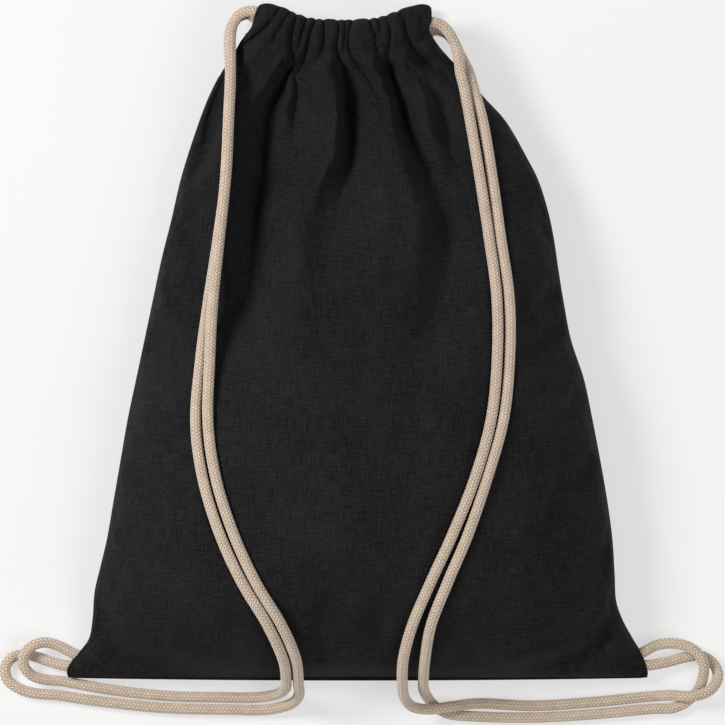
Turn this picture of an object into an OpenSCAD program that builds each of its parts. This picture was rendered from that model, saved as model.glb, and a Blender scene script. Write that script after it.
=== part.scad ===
// Drawstring backpack lying on its back: two sewn cotton panels, a gathered hem at the mouth and two
// cords that are drawstring and shoulder straps at once. +Y points to the mouth, +Z out of the front.

/* [Bag] */
// Width of the flat cut panels, from one bottom corner to the other
bag_width = 380; // [300:1:460]
// Width across the filled belly, between the side seams
belly_width = 338; // [270:1:400]
// Length from the bottom seam to the top of the hem's raised ends
bag_length = 439; // [360:1:520]
// Height of the filled bag as it lies
fill_depth = 88; // [60:1:120]
// Height of the side seams above the ground
seam_height = 23; // [21:0.5:30]
// Height of the bottom corners above the ground
corner_height = 8.6; // [7:0.1:14]
// Extra height of the bottom seam at its middle
bottom_seam_rise = 6; // [2:0.5:12]
// Thickness of the modelled cloth wall
cloth = 2; // [1.2:0.1:3]
// Width of the seam allowance inside the bag
seam_allowance = 9; // [6:0.5:14]
// Thickness of the folded seam allowance
seam_thickness = 1.6; // [0.8:0.1:2]
// Depth of the soft pleats that run down from the hem
pleat_depth = 2.5; // [0:0.1:4]
// Number of soft pleats across each panel
pleats = 7; // [3:1:9]

/* [Hem] */
// Straight distance between the two ends of the gathered hem
mouth_width = 115; // [90:1:150]
// How far the mouth sits to one side of the middle
mouth_shift = -9; // [-20:1:20]
// Radius of the curve that the drawn hem takes
hem_radius = 184; // [150:1:260]
// Depth of each hem tunnel, from the top edge to its stitched line
hem_depth = 20; // [18:0.5:30]
// Thickness of one gathered hem tunnel
hem_thickness = 16; // [13:0.5:22]
// Wall of the gathered tunnel over and under the cords
hem_wall = 3.5; // [2:0.1:4]
// Wall of the tunnel at its top fold and at its stitched line
hem_fold = 2; // [1:0.1:3]
// Gap left between the front and back hems at the drawn mouth
mouth_gap = 12; // [6:0.5:20]
// Height of the back hem's underside above the ground
hem_lift = 1; // [0.6:0.1:3]

/* [Cord] */
// Diameter of the braided cord
cord_d = 7; // [5:0.1:8]
// Distance from the hem's top edge to the left cord's centreline
left_cord_inset = 6; // [5.5:0.1:7]
// Distance between the two cords' centrelines inside a tunnel
cord_pitch = 8; // [7.2:0.1:9]

/* [Stitching] */
// Length of one stitch
stitch_length = 3; // [2:0.1:4]
// Distance from one stitch to the next
stitch_pitch = 4.5; // [4:0.1:7]
// Thickness of the sewing thread
thread = 0.6; // [0.4:0.1:1]
// Distance of the stitch line from the hem's lower edge
stitch_inset = 2.5; // [1.5:0.1:4]
// Length of the bar tack that holds the two cord ends in a bottom corner
tack_length = 20; // [17:0.5:26]
// Thickness of that tack, measured outwards
tack_thickness = 3; // [2:0.1:5]
// Height of that tack
tack_height = 10; // [8:0.5:12]

/* [Hidden] */
$fn = 48;

canvas = "#2c2a2b";
canvas_fold = "#353334";
sewing_thread = "#1b1a1b";
cotton_cord = "#c9b49a";

// --- the bag's shape -----------------------------------------------------------------------------
bottom_y = -bag_length / 2;
hem_end_angle = asin(mouth_width / 2 / (hem_radius + left_cord_inset));
hem_sag = hem_radius * (1 - cos(hem_end_angle));
hem_axis_y = bag_length / 2 - hem_sag + hem_radius;
neck_y = hem_axis_y - hem_radius - hem_depth;
panel_run = neck_y - bottom_y;
neck_flare = 6.5;
neck_half = mouth_width / 2 + neck_flare;
belly_half = belly_width / 2;
corner_flare = bag_width / 2 - belly_half;

// distances from the bottom seam over which the outline and the heights change
corner_run = 54;
shoulder_start = 250;
shift_start = 200;
side_rise_run = 70;
bottom_arch_run = 40;
end_rise_run = 120;
back_rise_run = 60;
crown_fall_start = 150;

// how the taper, the bulge and the ends are rounded
straight_share = 0.66;
straight_power = 1.3;
shoulder_power = 3;
bulge_power = 2.4;
bulge_root = 0.6;
end_power = 2.2;
end_root = 0.55;

// shares of the panel's length where the hem's curve and the pleats begin
smile_start = 0.8;
pleat_start = 0.45;
pleat_full = 0.9;

// gap between parts that are sewn face to face, and how far the back panel is pressed past the ground
lap = 0.3;
back_press = 1.5;

back_hem_z = hem_lift + hem_thickness / 2;
front_hem_z = hem_lift + hem_thickness * 1.5 + mouth_gap;
hem_top_z = front_hem_z + hem_thickness / 2;

function ease(a) = let (c = min(max(a, 0), 1)) c * c * (3 - 2 * c);
function share(s, from, to) = min(max((s - from) / (to - from), 0), 1);

// s is the distance from the bottom seam, u runs from -1 at the left seam to 1 at the right seam
function half_width(s) =
    belly_half + corner_flare * (1 - ease(s / corner_run))
    - (belly_half - neck_half)
      * (straight_share * pow(share(s, corner_run, panel_run), straight_power)
         + (1 - straight_share) * pow(share(s, shoulder_start, panel_run), shoulder_power));
function centre_x(s) = mouth_shift * ease(share(s, shift_start, panel_run));
function side_seam_z(s) = corner_height + (seam_height - corner_height) * ease(s / side_rise_run);
function end_rise(s, run) = pow(1 - pow(1 - share(s, 0, run), end_power), end_root);
function crown_z(s) =
    fill_depth - (fill_depth - hem_top_z) * ease(share(s, crown_fall_start, panel_run));
function bulge(u) = pow(max(1 - pow(abs(u), bulge_power), 0), bulge_root);
function seam_sheet_z(u, s) =
    side_seam_z(s) + bottom_seam_rise * (1 - u * u) * (1 - ease(s / bottom_arch_run));
function smile(x, s) =
    hem_sag * pow(min(abs(x - centre_x(s)) / (mouth_width / 2), 1), 2)
    * ease(share(s / panel_run, smile_start, 1));
function pleat(u, s) =
    pleat_depth * (1 - u * u) * ease(share(s / panel_run, pleat_start, pleat_full))
    * (1 + cos(360 * pleats * (u + 1) / 2)) / 2;

function front_height(s) = (crown_z(s) - side_seam_z(s)) * end_rise(s, end_rise_run);
function back_height(s) = (side_seam_z(s) + back_press) * end_rise(s, back_rise_run);

// one point of a panel; inset is 0 on the outside of the cloth and the cloth's thickness inside
function front_point(u, v, inset) =
    let (s = v * panel_run,
         x = centre_x(s) + u * (half_width(s) - inset),
         y = bottom_y + s + inset * (1 - v) + smile(x, s),
         h = front_height(s) * (1 - inset / (fill_depth - seam_height)))
    [x, y, seam_sheet_z(u, s) + lap / 2 + h * bulge(u) - pleat(u, s) * bulge(u)];
function back_point(u, v, inset) =
    let (s = v * panel_run,
         x = centre_x(s) + u * (half_width(s) - inset),
         y = bottom_y + s + inset * (1 - v) + smile(x, s),
         z = seam_sheet_z(u, s) - lap / 2 - back_height(s) * (1 - inset / seam_height) * bulge(u))
    [x, y, max(z, inset)];

panel_columns = 40;
panel_rows = 26;
function column_u(i) = sin(90 * (2 * i / panel_columns - 1));
function row_v(j) = (1 - cos(180 * j / panel_rows)) / 2;

// closed shell between an outside grid and an inside grid of the same size
function grid_at(g, i, j) = g * (panel_columns + 1) * (panel_rows + 1) + j * (panel_columns + 1) + i;
function quad(a, b, c, d) = [[a, b, c], [a, c, d]];
function shell_faces() = concat(
    [for (j = [0:panel_rows - 1], i = [0:panel_columns - 1])
        each quad(grid_at(0, i, j), grid_at(0, i, j + 1), grid_at(0, i + 1, j + 1), grid_at(0, i + 1, j))],
    [for (j = [0:panel_rows - 1], i = [0:panel_columns - 1])
        each quad(grid_at(1, i, j), grid_at(1, i + 1, j), grid_at(1, i + 1, j + 1), grid_at(1, i, j + 1))],
    [for (i = [0:panel_columns - 1], j = [0, panel_rows])
        let (a = grid_at(0, i, j), b = grid_at(0, i + 1, j), c = grid_at(1, i + 1, j), d = grid_at(1, i, j))
        each j == 0 ? quad(a, b, c, d) : quad(d, c, b, a)],
    [for (j = [0:panel_rows - 1], i = [0, panel_columns])
        let (a = grid_at(0, i, j), b = grid_at(0, i, j + 1), c = grid_at(1, i, j + 1), d = grid_at(1, i, j))
        each i == 0 ? quad(d, c, b, a) : quad(a, b, c, d)]);

module front_panel() {
    points = [for (inset = [0, cloth], j = [0:panel_rows], i = [0:panel_columns])
        front_point(column_u(i), row_v(j), inset)];
    color(canvas) polyhedron(points, shell_faces(), convexity = 6);
}

module back_panel() {
    points = [for (inset = [0, cloth], j = [0:panel_rows], i = [0:panel_columns])
        back_point(column_u(i), row_v(j), inset)];
    color(canvas) polyhedron(points, [for (f = shell_faces()) [f[2], f[1], f[0]]], convexity = 6);
}

// --- seams inside the bag ------------------------------------------------------------------------
function strip_faces(n) = concat(
    [[0, 1, 2, 3]],
    [for (k = [0:n - 2], c = [0:3])
        each quad(4 * k + c, 4 * k + 4 + c, 4 * k + 4 + (c + 1) % 4, 4 * k + (c + 1) % 4)],
    [[4 * n - 1, 4 * n - 2, 4 * n - 3, 4 * n - 4]]);

function turned_over(face) = [for (k = [len(face) - 1:-1:0]) face[k]];

side_seam_steps = 24;
side_seam_start = 32;

module side_seam(side) {
    stations = [for (k = [0:side_seam_steps])
        side_seam_start + (panel_run - hem_depth - side_seam_start) * k / side_seam_steps];
    points = [for (s = stations)
        let (x = centre_x(s) + side * (half_width(s) - cloth - lap),
             y = bottom_y + s + smile(x, s),
             in_x = x - side * seam_allowance,
             z = side_seam_z(s),
             h = seam_thickness / 2)
        each [[in_x, y, z - h], [in_x, y, z + h], [x, y, z + h], [x, y, z - h]]];
    faces = strip_faces(len(stations));
    color(canvas_fold) polyhedron(points, side > 0 ? faces : [for (f = faces) turned_over(f)]);
}

module left_side_seam() { side_seam(-1); }
module right_side_seam() { side_seam(1); }

bottom_seam_steps = 20;
bottom_seam_reach = 0.78;

module bottom_seam() {
    y = bottom_y + cloth + lap;
    points = [for (k = [0:bottom_seam_steps])
        let (u = bottom_seam_reach * (2 * k / bottom_seam_steps - 1),
             x = u * half_width(0),
             z = seam_sheet_z(u, cloth),
             h = seam_thickness / 2)
        each [[x, y, z - h], [x, y, z + h], [x, y + seam_allowance, z + h], [x, y + seam_allowance, z - h]]];
    faces = strip_faces(bottom_seam_steps + 1);
    color(canvas_fold) polyhedron(points, [for (f = faces) turned_over(f)]);
}

// --- the gathered hem ----------------------------------------------------------------------------
left_cord_r = hem_radius + left_cord_inset;
right_cord_r = left_cord_r + cord_pitch;
turn_r = (front_hem_z - back_hem_z) / 2;
turn_inset = turn_r + 3;
turn_overcut = 6;
cut_slack = 0.1;

module hem_sector(angle) {
    translate([mouth_shift, hem_axis_y, 0])
        rotate([0, 0, 270 - angle]) rotate_extrude(angle = 2 * angle, $fn = 180) children();
}

module hem_section() {
    difference() {
        translate([hem_radius, -hem_thickness / 2]) square([hem_depth, hem_thickness]);
        translate([hem_radius + hem_fold, -hem_thickness / 2 + hem_wall])
            square([hem_depth - 2 * hem_fold, hem_thickness - 2 * hem_wall]);
    }
}

// a hem tunnel whose side towards the mouth gap is open near its ends, where the cords turn back
module hem(z, gap_side) {
    difference() {
        translate([0, 0, z]) hem_sector(hem_end_angle) hem_section();
        for (side = [-1, 1])
            translate([mouth_shift + side * (mouth_width / 2 - turn_inset / 2 + turn_overcut),
                       hem_axis_y - hem_radius, z + gap_side * hem_thickness / 2])
                cube([turn_inset + 2 * turn_overcut, 3 * hem_depth, 2 * (hem_wall + cut_slack)],
                     center = true);
    }
}

module front_hem() { color(canvas) hem(front_hem_z, -1); }
module back_hem() { color(canvas) hem(back_hem_z, 1); }

stitch_end_angle = 1;

module hem_stitches(z) {
    r = hem_radius + hem_depth - stitch_inset;
    step = stitch_pitch / r * 180 / PI;
    count = floor((hem_end_angle - stitch_end_angle) / step);
    for (k = [-count:count])
        translate([mouth_shift, hem_axis_y, z]) rotate([0, 0, 270 + k * step])
            translate([r, 0, 0]) cube([thread, stitch_length, thread], center = true);
}

module front_hem_stitching() { color(sewing_thread) hem_stitches(hem_top_z + thread / 2); }
module back_hem_stitching() { color(sewing_thread) hem_stitches(hem_lift - thread / 2); }

// --- corner tacks --------------------------------------------------------------------------------
// distance of the tacks from the bottom seam, their turn and how deep they sit in the cloth's edge
tack_s = 15;
tack_turn = 25;
tack_bite = 1;

module corner_tack(side) {
    reach = half_width(tack_s) - tack_bite + tack_thickness / 2;
    translate([side * reach, bottom_y + tack_s, side_seam_z(tack_s)])
        rotate([0, 0, side * tack_turn]) cube([tack_thickness, tack_length, tack_height], center = true);
}

module left_corner_tack() { color(sewing_thread) corner_tack(-1); }
module right_corner_tack() { color(sewing_thread) corner_tack(1); }

// --- cords ---------------------------------------------------------------------------------------
// Each cord is one length. It is sewn into its bottom corner, lies in a loop on the ground, runs up
// the front of the bag, goes through one hem, turns back through the other and returns the same way.
// A strand is the part that swings with the strap; what is sewn in or lies in the hems stays behind.
left_front_route = [
    [-83, 200.6, 36.7], [-83, 190, 41.5], [-83, 174, 48], [-84, 150, 53], [-86, 108, 60], [-90, 68, 67],
    [-94, 28, 74], [-96, -10, 77], [-97, -50, 80], [-92, -85, 83], [-81, -120, 85], [-66, -152, 83.5],
    [-49, -180, 75.5], [-39.5, -203, 59], [-38, -219, 41], [-38, -228, 22], [-44, -234, 9],
    [-58, -237.5, 4], [-85, -237.5, 4], [-125, -236.5, 4], [-159, -233.2, 4]
];
left_back_route = [
    [-84, 200.8, 26.8], [-84, 190, 33.5], [-83, 174, 40], [-84, 150, 45], [-86, 108, 52], [-91, 68, 59],
    [-97, 28, 67], [-102, -10, 72], [-105, -50, 76], [-100.5, -85, 80], [-90, -120, 83],
    [-75, -152, 82.5], [-58, -180, 75.5], [-47.5, -204, 59], [-46, -218.5, 39.5], [-47, -223.5, 24],
    [-52, -227, 11], [-64, -229.5, 4.5], [-90, -229.5, 4], [-125, -228.5, 4], [-158, -225, 4]
];
left_front_tail_route = [
    [-160.6, -233, 4], [-180, -230.5, 4], [-195.5, -228, 4], [-209, -227, 4], [-220, -224, 4],
    [-228, -218, 4], [-229.5, -210, 4],
    [-225, -203.5, 4], [-217, -201.5, 4], [-208, -203.5, 4], [-199, -206.5, 6], [-189, -208.5, 8.5]
];
left_back_tail_route = [
    [-159.6, -224.8, 4], [-176, -222, 4], [-192.2, -219, 4], [-203, -218, 4.5], [-212, -215, 7],
    [-217, -209, 10], [-217, -202, 12],
    [-212, -196, 12], [-204, -193.5, 10.5], [-195, -195.5, 9], [-185.5, -200.5, 8.5]
];
right_front_route = [
    [67.8, 176.7, 39.4], [70, 168, 41], [74, 146, 45], [80, 110, 53], [86, 70, 60],
    [91, 30, 67], [91, -10, 75.5], [87, -48, 81], [76, -87, 86], [62, -122, 88], [48, -152, 85],
    [36, -180, 76.5], [30, -203, 59.5], [29.5, -219, 41], [31, -229, 27], [36, -235, 18.5],
    [46, -237, 13.5], [60, -235.5, 11.5], [78, -233.5, 5.5], [115, -235, 4], [155, -232.5, 4],
    [190.5, -229, 4]
];
right_back_route = [
    [73.6, 176.7, 32.7], [76, 168, 36.5], [82, 146, 42], [88, 110, 50], [93.5, 70, 58],
    [99, 30, 65], [99, -10, 73], [95, -48, 79.5], [84, -87, 84.5], [72, -122, 87], [59, -152, 85],
    [48, -180, 76], [44, -203, 59.5], [43, -218.5, 39.5], [43.5, -224, 22], [46, -229.5, 8.5],
    [50, -234.5, 4.5], [59, -240, 4], [78, -242, 4], [115, -242.7, 4], [155, -240.5, 4],
    [193, -237, 4]
];
right_front_tail_route = [
    [191.2, -229, 4], [198, -228.4, 4.5], [206, -228, 7.5], [215, -228.5, 11.5], [224, -227.5, 12],
    [232, -223, 10.5], [235.5, -215, 7.5], [232, -207, 5], [224, -202.5, 4], [214, -203.5, 4],
    [202, -206.5, 6], [189, -208.5, 8.5]
];
right_back_tail_route = [
    [193.5, -237, 4], [206, -236.5, 4], [215, -232.5, 4], [222, -225.5, 4], [225.5, -217, 7.5],
    [226, -208.5, 11.5], [222, -200.5, 12], [214, -195.5, 12], [204, -194, 10.5], [195, -195.5, 9],
    [185.5, -200.5, 8.5]
];

function hem_point(r, angle, z) =
    [mouth_shift + r * sin(angle), hem_axis_y - r * cos(angle), z];

// from the front tunnel round into the back tunnel, in the upright plane that the tunnel ends in
function turn_back(r, angle, side) =
    let (p = hem_point(r, angle, 0), out = [cos(angle) * side, sin(angle) * side, 0])
    [for (a = [0, 45, 90, 135, 180])
        p + out * turn_r * sin(a) + [0, 0, (front_hem_z + back_hem_z) / 2 + turn_r * cos(a)]];

// the angles that a cord's run in a tunnel stops short, before its turn and at the mouth's end
turn_lead = 3;
mouth_lead = 1;
hem_run_steps = 5;
function hem_run(r, from, to, z) =
    [for (k = [0:hem_run_steps]) hem_point(r, from + (to - from) * k / hem_run_steps, z)];

left_turn_angle = asin((mouth_width / 2 - turn_inset) / left_cord_r);
right_turn_angle = asin((mouth_width / 2 - turn_inset) / right_cord_r);

left_cord_route = concat(
    [[-83, 203, 35.5], [-83, 211, 33.5], [-78, 217.5, 35.5], [-71, 217.5, 37]],
    hem_run(left_cord_r, -hem_end_angle, left_turn_angle - turn_lead, front_hem_z),
    turn_back(left_cord_r, left_turn_angle, 1),
    hem_run(left_cord_r, left_turn_angle - turn_lead, -hem_end_angle, back_hem_z),
    [[-71, 217.5, 9.5], [-79, 216.5, 13], [-84, 210.5, 20], [-84, 203, 25]]);
right_cord_route = concat(
    [[67.4, 178.3, 39], [66, 184, 38], [63, 196, 36], [61, 203, 35], [55, 207.5, 36.5]],
    hem_run(right_cord_r, hem_end_angle - mouth_lead, turn_lead - right_turn_angle, front_hem_z),
    turn_back(right_cord_r, -right_turn_angle, -1),
    hem_run(right_cord_r, turn_lead - right_turn_angle, hem_end_angle - mouth_lead, back_hem_z),
    [[54, 207, 9.5], [60, 206.5, 11], [64, 203, 15], [66, 196, 20], [71.5, 184, 29.5], [73.1, 178.3, 32]]);

function unit(v) = v / norm(v);
function heading(p, k) = unit(p[min(k + 1, len(p) - 1)] - p[max(k - 1, 0)]);
function square_to(n, t) = unit(n - t * (n * t));
function first_normal(t) = square_to(abs(t[2]) < 0.8 ? [0, 0, 1] : [1, 0, 0], t);
function normals(p) = [for (k = 0, n = first_normal(heading(p, 0)); k < len(p);
    k = k + 1, n = k < len(p) ? square_to(n, heading(p, k)) : n) n];

cord_sides = 8;

module cord(route) {
    n = normals(route);
    rings = [for (k = [0:len(route) - 1], c = [0:cord_sides - 1])
        let (side = cross(heading(route, k), n[k]), a = 360 * c / cord_sides)
        route[k] + cord_d / 2 * (cos(a) * n[k] + sin(a) * side)];
    last = (len(route) - 1) * cord_sides;
    faces = concat(
        [[for (c = [0:cord_sides - 1]) c]],
        [for (k = [0:len(route) - 2], c = [0:cord_sides - 1])
            let (a = k * cord_sides + c, b = k * cord_sides + (c + 1) % cord_sides)
            each quad(a, a + cord_sides, b + cord_sides, b)],
        [[for (c = [cord_sides - 1:-1:0]) last + c]]);
    color(cotton_cord) polyhedron(rings, faces, convexity = 8);
}

module left_cord_in_hem() { cord(left_cord_route); }
module right_cord_in_hem() { cord(right_cord_route); }
module left_front_strand() { cord(left_front_route); }
module left_back_strand() { cord(left_back_route); }
module left_front_tail() { cord(left_front_tail_route); }
module left_back_tail() { cord(left_back_tail_route); }
module right_front_strand() { cord(right_front_route); }
module right_back_strand() { cord(right_back_route); }
module right_front_tail() { cord(right_front_tail_route); }
module right_back_tail() { cord(right_back_tail_route); }

front_panel();
back_panel();
front_hem();
back_hem();
left_side_seam();
right_side_seam();
bottom_seam();
front_hem_stitching();
back_hem_stitching();
left_corner_tack();
right_corner_tack();
left_cord_in_hem();
right_cord_in_hem();
left_front_strand();
left_back_strand();
left_front_tail();
left_back_tail();
right_front_strand();
right_back_strand();
right_front_tail();
right_back_tail();
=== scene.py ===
"""Drawstring backpack of black cotton canvas, lying on its back with its two cord straps on top.

In order: camera, finishes, mesh tools, cord routes, the cloth's shape, the cords, the cloth pieces,
the sewn seams, stitches and tacks, and the studio. Cords are in metres. The cloth is shaped in
millimetres, from sizes whose names say so, and scaled once when its mesh is made.
"""

import math

import bpy
import numpy as np
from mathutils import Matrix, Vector
from mathutils.kdtree import KDTree


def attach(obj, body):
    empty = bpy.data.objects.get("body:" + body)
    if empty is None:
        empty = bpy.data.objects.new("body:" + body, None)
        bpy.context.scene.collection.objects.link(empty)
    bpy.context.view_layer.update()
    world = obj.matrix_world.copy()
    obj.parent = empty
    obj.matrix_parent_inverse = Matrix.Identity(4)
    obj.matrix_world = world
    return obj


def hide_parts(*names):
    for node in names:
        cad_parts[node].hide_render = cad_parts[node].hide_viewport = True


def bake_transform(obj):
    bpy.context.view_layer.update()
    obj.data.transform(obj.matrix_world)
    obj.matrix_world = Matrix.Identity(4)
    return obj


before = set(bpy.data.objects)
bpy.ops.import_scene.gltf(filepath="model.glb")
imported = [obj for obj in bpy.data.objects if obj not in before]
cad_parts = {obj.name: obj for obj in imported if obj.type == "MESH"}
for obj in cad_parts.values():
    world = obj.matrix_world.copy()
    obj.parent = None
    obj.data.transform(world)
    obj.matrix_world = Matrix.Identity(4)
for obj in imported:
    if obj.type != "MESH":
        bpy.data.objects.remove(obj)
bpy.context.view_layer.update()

MM = 0.001
UP = np.array([0.0, 0.0, 1.0])


# --- camera ---------------------------------------------------------------------------------------
def overhead_camera():
    """A long lens straight above the bag, with the mouth at the top of the picture."""
    lens = bpy.data.cameras.new("overhead")
    lens.lens = 460
    lens.clip_end = 40
    camera = bpy.data.objects.new("overhead", lens)
    camera.location = (0.0036, -0.011, 6.05)
    bpy.context.scene.collection.objects.link(camera)
    bpy.context.scene.camera = camera


overhead_camera()


# --- finishes -------------------------------------------------------------------------------------
class Wire:
    """One output of a finish's nodes. Arithmetic on it adds Math nodes."""

    def __init__(self, finish, socket):
        self.finish = finish
        self.socket = socket

    def maths(self, operation, *values):
        return self.finish.node("ShaderNodeMath", {"operation": operation}, dict(enumerate(values)))

    def __add__(self, other):
        return self.maths("ADD", self, other)

    def __radd__(self, other):
        return self.maths("ADD", other, self)

    def __sub__(self, other):
        return self.maths("SUBTRACT", self, other)

    def __rsub__(self, other):
        return self.maths("SUBTRACT", other, self)

    def __mul__(self, other):
        return self.maths("MULTIPLY", self, other)

    def __rmul__(self, other):
        return self.maths("MULTIPLY", other, self)

    def __truediv__(self, other):
        return self.maths("DIVIDE", self, other)

    def __rtruediv__(self, other):
        return self.maths("DIVIDE", other, self)

    def __pow__(self, other):
        return self.maths("POWER", self, other)

    def __mod__(self, other):
        return self.maths("FLOORED_MODULO", self, other)

    def __lt__(self, other):
        return self.maths("LESS_THAN", self, other)

    def sin(self):
        return self.maths("SINE", self)

    def floor(self):
        return self.maths("FLOOR", self)

    def past_floor(self):
        return self.maths("FRACT", self)

    def clamped(self):
        return self.maths("MINIMUM", self.maths("MAXIMUM", self, 0.0), 1.0)


class Finish:
    """A material on one Principled shader. What is the same all over is set on its own sockets."""

    def __init__(self, name, **surface):
        self.material = bpy.data.materials.new(name)
        self.material.use_nodes = True
        self.tree = self.material.node_tree
        self.shader = self.tree.nodes["Principled BSDF"]
        for socket, value in surface.items():
            self.shader.inputs[socket.replace("_", " ")].default_value = value

    def node(self, kind, settings=None, inputs=None, output=0):
        made = self.tree.nodes.new(kind)
        for name, value in (settings or {}).items():
            if name == "stops":
                ramp = made.color_ramp.elements
                while len(ramp) < len(value):
                    ramp.new(0.5)
                for stop, (place, colour) in zip(ramp, value):
                    stop.position = place
                    stop.color = colour
            else:
                setattr(made, name, value)
        for name, value in (inputs or {}).items():
            self.feed(made.inputs[name], value)
        return Wire(self, made.outputs[output])

    def feed(self, socket, value):
        if isinstance(value, Wire):
            self.tree.links.new(value.socket, socket)
        else:
            socket.default_value = value

    def set(self, **surface):
        for socket, value in surface.items():
            self.feed(self.shader.inputs[socket.replace("_", " ")], value)

    def along_uv(self, uv_map):
        """The two parts of a place on the cut cloth or the cord, and the place itself."""
        place = self.node("ShaderNodeUVMap", {"uv_map": uv_map})
        split = self.node("ShaderNodeSeparateXYZ", {}, {"Vector": place})
        return split, Wire(self, split.socket.node.outputs[1]), place

    def noise(self, place, scale, detail=2.0, roughness=0.5):
        return self.node("ShaderNodeTexNoise", {}, {
            "Vector": place, "Scale": scale, "Detail": detail, "Roughness": roughness})

    def stretched(self, place, scale):
        return self.node("ShaderNodeMapping", {}, {"Vector": place, "Scale": scale})

    def blend(self, factor, first, second):
        return self.node("ShaderNodeMix", {"data_type": "RGBA"}, {0: factor, 6: first, 7: second}, 2)

    def bump(self, height, depth, strength=1.0):
        return self.node("ShaderNodeBump", {}, {
            "Height": height, "Distance": depth, "Strength": strength})


def grey(level):
    return level, level, level, 1


WEAVE_PITCH = 0.0011
YARNS = 10
YARN_PITCH = 0.0024
BLACK_DYE, FADED_DYE = (0.0045, 0.0041, 0.0045, 1), (0.0340, 0.0320, 0.0332, 1)
# The first cotton colour is painted shade for the crevices between the braid's yarns; the second is
# the cotton's own colour.
COTTON_PAINTED_CREVICE_SHADE, COTTON_LIGHT = (0.300, 0.205, 0.140, 1), (0.830, 0.690, 0.550, 1)
THREAD_SHADE, THREAD_LIGHT = (0.003, 0.003, 0.0032, 1), (0.016, 0.015, 0.016, 1)
PAPER_SHADE, PAPER_LIGHT, PAPER_GLOW = grey(0.330), grey(0.350), 0.55
LINT_LEVEL, LINT_EDGE = 0.72, 6
OBJECT_PLACE = 3  # the texture coordinate node's output for places on the piece itself


def black_canvas(name, lint=1.0):
    """Plain-weave cotton dyed black, a little faded on its raised threads, with slubs and lint."""
    finish = Finish(name, Roughness=0.86, Specular_IOR_Level=0.12, Sheen_Weight=0.02,
                    Sheen_Roughness=0.45)
    across, along, cloth = finish.along_uv("cloth")
    thread = 2 * math.pi / WEAVE_PITCH
    weave = (across * thread).sin() * (along * thread).sin()
    warp = finish.noise(finish.stretched(cloth, (1.0, 0.09, 1.0)), 900.0, 2.0)
    weft = finish.noise(finish.stretched(cloth, (0.09, 1.0, 1.0)), 900.0, 2.0)
    slubs = (warp + weft) / 2
    grain = finish.noise(cloth, 620.0, 3.0, 0.7)
    cloud = finish.noise(cloth, 14.0, 3.0, 0.55)
    specks = (finish.noise(cloth, 1500.0, 1.0) - LINT_LEVEL) * LINT_EDGE * lint
    light = (0.28 + (slubs - 0.5) * 1.5 + (grain - 0.5) * 1.1 + (cloud - 0.5) * 0.5
             + weave * 0.12 + specks.clamped()).clamped()
    finish.set(Base_Color=finish.blend(light, BLACK_DYE, FADED_DYE), Roughness=0.80 + slubs * 0.16,
               Normal=finish.bump(weave * 0.5 + slubs * 1.6 + grain, 0.00022, 0.75))
    return finish.material


def braided_cotton(name):
    """Undyed cotton, braided two over two from twenty soft yarns, ten each way, with painted shade
    darkening the colour in the crevices between the yarns.
    """
    finish = Finish(name, Roughness=0.9, Specular_IOR_Level=0.2, Sheen_Weight=0.5,
                    Sheen_Roughness=0.6, Sheen_Tint=(1.0, 0.95, 0.9, 1.0))
    turn, length, place = finish.along_uv("braid")
    around, along = turn * YARNS, length / YARN_PITCH
    right, left = around + along, around - along
    step = (right.floor() + left.floor()) % 4
    on_top = step < 1.5
    under = 1 - on_top
    across = right.past_floor() * on_top + left.past_floor() * under
    run = ((step + left.past_floor()) / 2) * on_top + ((step - 2 + right.past_floor()) / 2) * under
    dome = (across * math.pi).sin() * ((run * math.pi).sin() ** 0.5)
    fibre = finish.noise(finish.stretched(place, (22.0, 1000.0, 1.0)), 3.2, 3.0, 0.6)
    tone = finish.noise(finish.stretched(place, (2.0, 60.0, 1.0)), 2.0, 2.0)
    # Painted shade: the colour goes from the cotton's own colour on the yarns' tops to the painted
    # crevice shade where dome falls to 0 between the yarns.
    light = (0.10 + dome * 0.80 + (fibre - 0.5) * 0.5 + (tone - 0.5) * 0.4).clamped()
    finish.set(Base_Color=finish.blend(light, COTTON_PAINTED_CREVICE_SHADE, COTTON_LIGHT),
               Normal=finish.bump(dome + fibre * 0.4, 0.00045, 0.8))
    return finish.material


def sewing_thread(name):
    """Spun black thread: a fine twist that catches a little light."""
    finish = Finish(name, Roughness=0.75, Specular_IOR_Level=0.2)
    place = finish.node("ShaderNodeTexCoord", {}, {}, OBJECT_PLACE)
    twist = finish.noise(finish.stretched(place, (1.0, 0.3, 1.0)), 3200.0, 2.0)
    finish.set(Base_Color=finish.blend(twist, THREAD_SHADE, THREAD_LIGHT),
               Normal=finish.bump(twist, 0.0001, 0.6))
    return finish.material


def pale_paper(name):
    """Seamless studio paper: pale and matt, with a tone that barely changes."""
    finish = Finish(name, Roughness=0.95, Specular_IOR_Level=0.1,
                    Emission_Color=(1, 1, 1, 1), Emission_Strength=PAPER_GLOW)
    place = finish.node("ShaderNodeTexCoord", {}, {}, OBJECT_PLACE)
    tone = finish.noise(place, 3.0, 2.0)
    finish.set(Base_Color=finish.blend(tone, PAPER_SHADE, PAPER_LIGHT))
    return finish.material


CANVAS = black_canvas("black canvas")
SEAM_CANVAS = black_canvas("black canvas, raw edge", 2.0)
BRAID = braided_cotton("braided cotton cord")
THREAD = sewing_thread("black sewing thread")
PAPER = pale_paper("studio paper")


# --- meshes ---------------------------------------------------------------------------------------
def end_caps(rings, sides):
    """The two faces that close a tube of rings, each with that many sides."""
    return [list(reversed(range(sides))), [(rings - 1) * sides + k for k in range(sides)]]


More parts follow.
